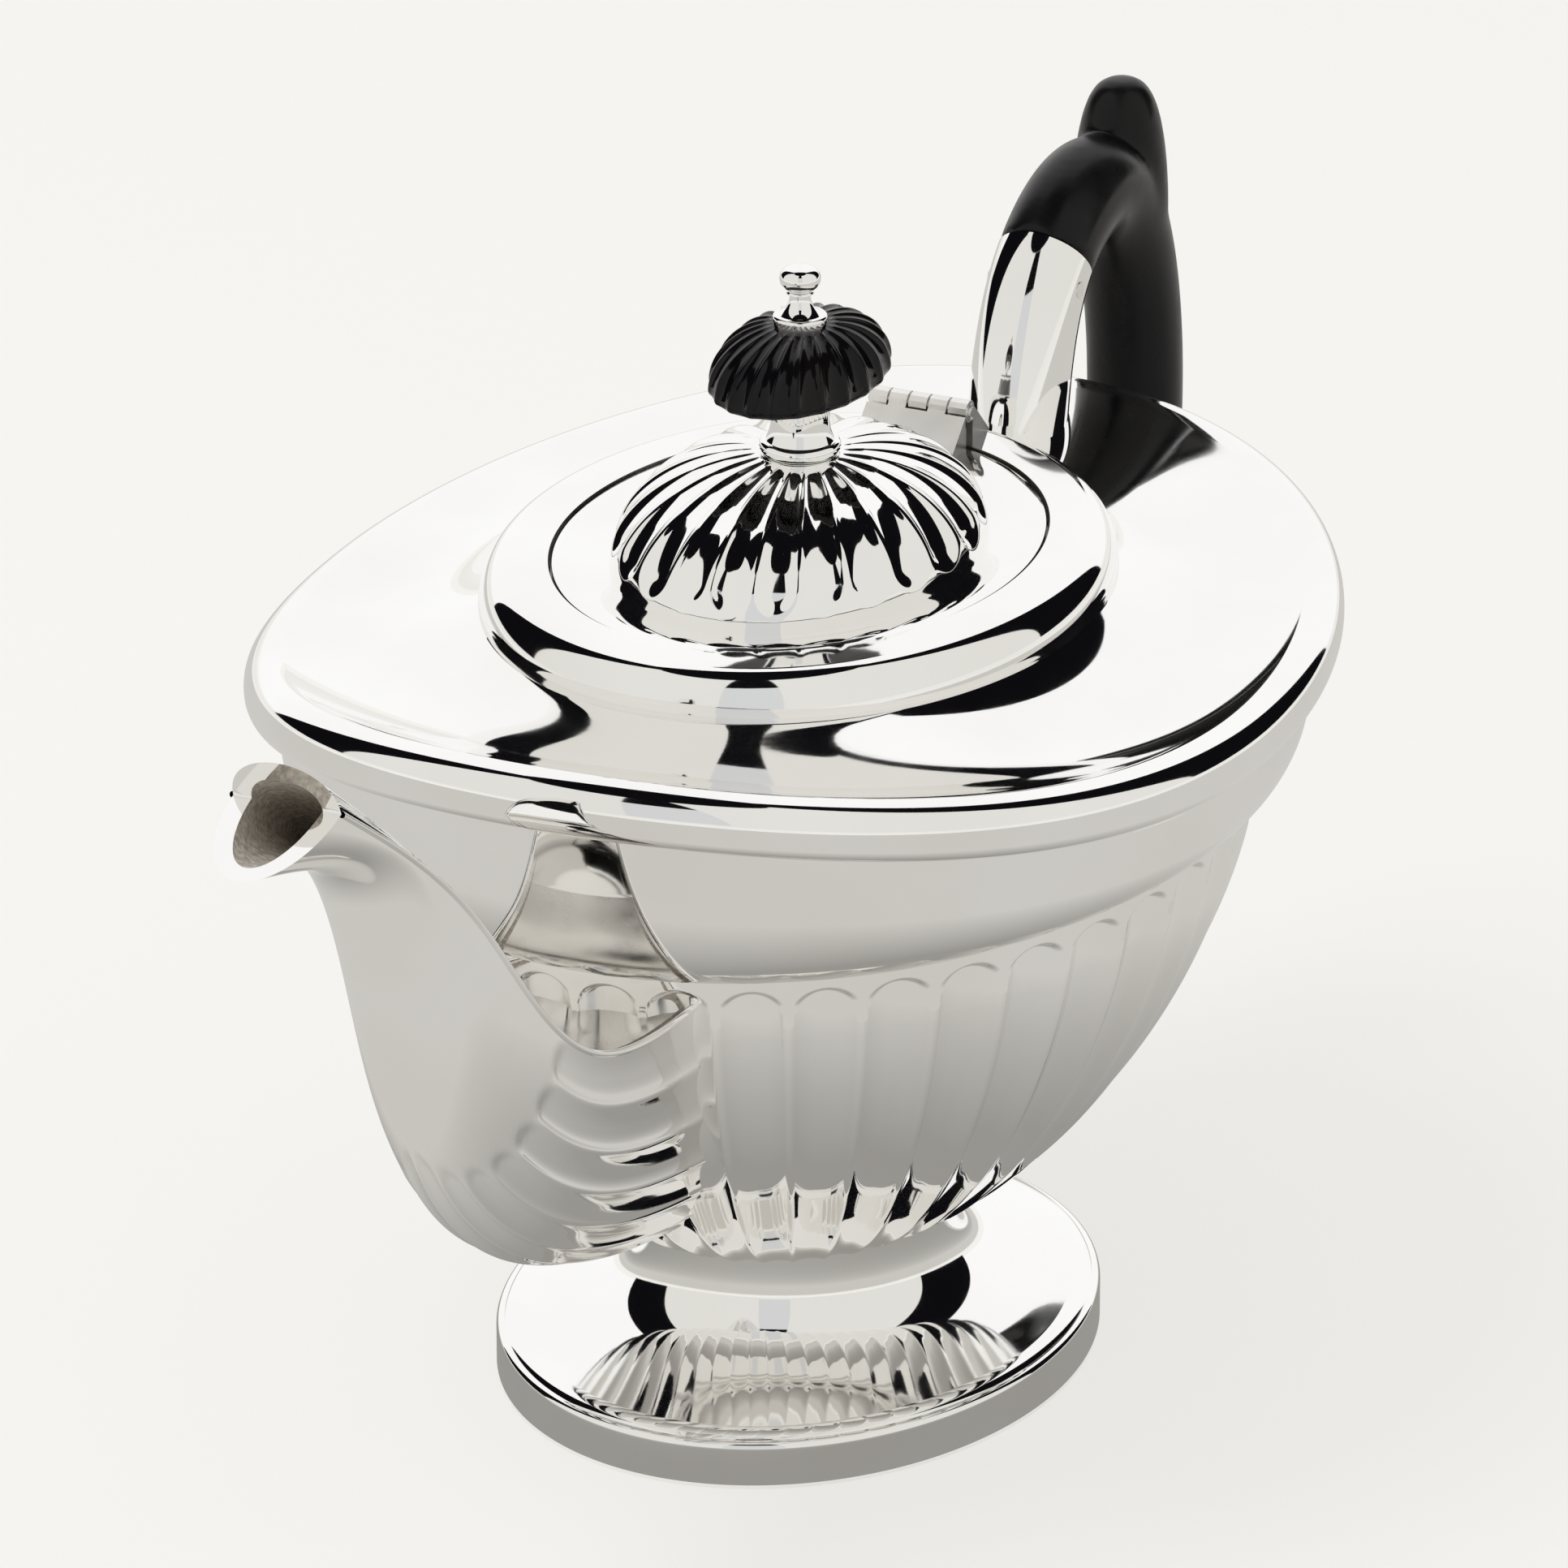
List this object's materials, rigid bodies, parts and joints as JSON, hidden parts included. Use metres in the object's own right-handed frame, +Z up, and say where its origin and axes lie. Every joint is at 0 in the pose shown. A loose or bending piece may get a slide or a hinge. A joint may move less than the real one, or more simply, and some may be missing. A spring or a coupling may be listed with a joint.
{
  "type": "teapot",
  "caption": "Oval pedestal teapot with a fluted bowl, boat-shaped rim, keeled spout, black loop handle and a hinged domed lid with a black knob.",
  "frame": {"origin": "middle of the foot, on the plane that the pot stands on", "axes": "+Z up, +X from the spout towards the handle"},
  "size_m": [0.2787, 0.133, 0.1498],
  "materials": {
    "silver": "polished silver plate",
    "black_grip": "polished black resin, slightly worn",
    "black_knob": "moulded black resin, glossy"
  },
  "bodies": {
    "pot": {"foot_rim": "silver", "foot_pedestal": "silver", "body_bowl": "silver", "body_band": "silver", "body_shoulder": "silver", "lid_collar": "silver", "lid_seat": "silver", "spout": "silver", "hinge_body_leaf": "silver", "hinge_pin": "silver", "handle_upper_socket": "silver", "handle_lower_socket": "silver", "handle_grip": "black_grip", "handle_rivets": "silver"},
    "lid": {"lid_plate": "silver", "lid_bezel": "silver", "lid_dome": "silver", "finial_collar": "silver", "finial_stem": "silver", "finial_knob": "black_knob", "finial_cap": "silver", "finial_stud": "silver", "finial_nut": "silver", "hinge_lid_leaf": "silver"}
  },
  "joints": [
    {"name": "lid_hinge", "type": "hinge", "parent": "pot", "child": "lid", "pos_m": [0.03885, 0, 0.1171], "axis": [0, 1, 0], "range_deg": [0, 95]}
  ]
}
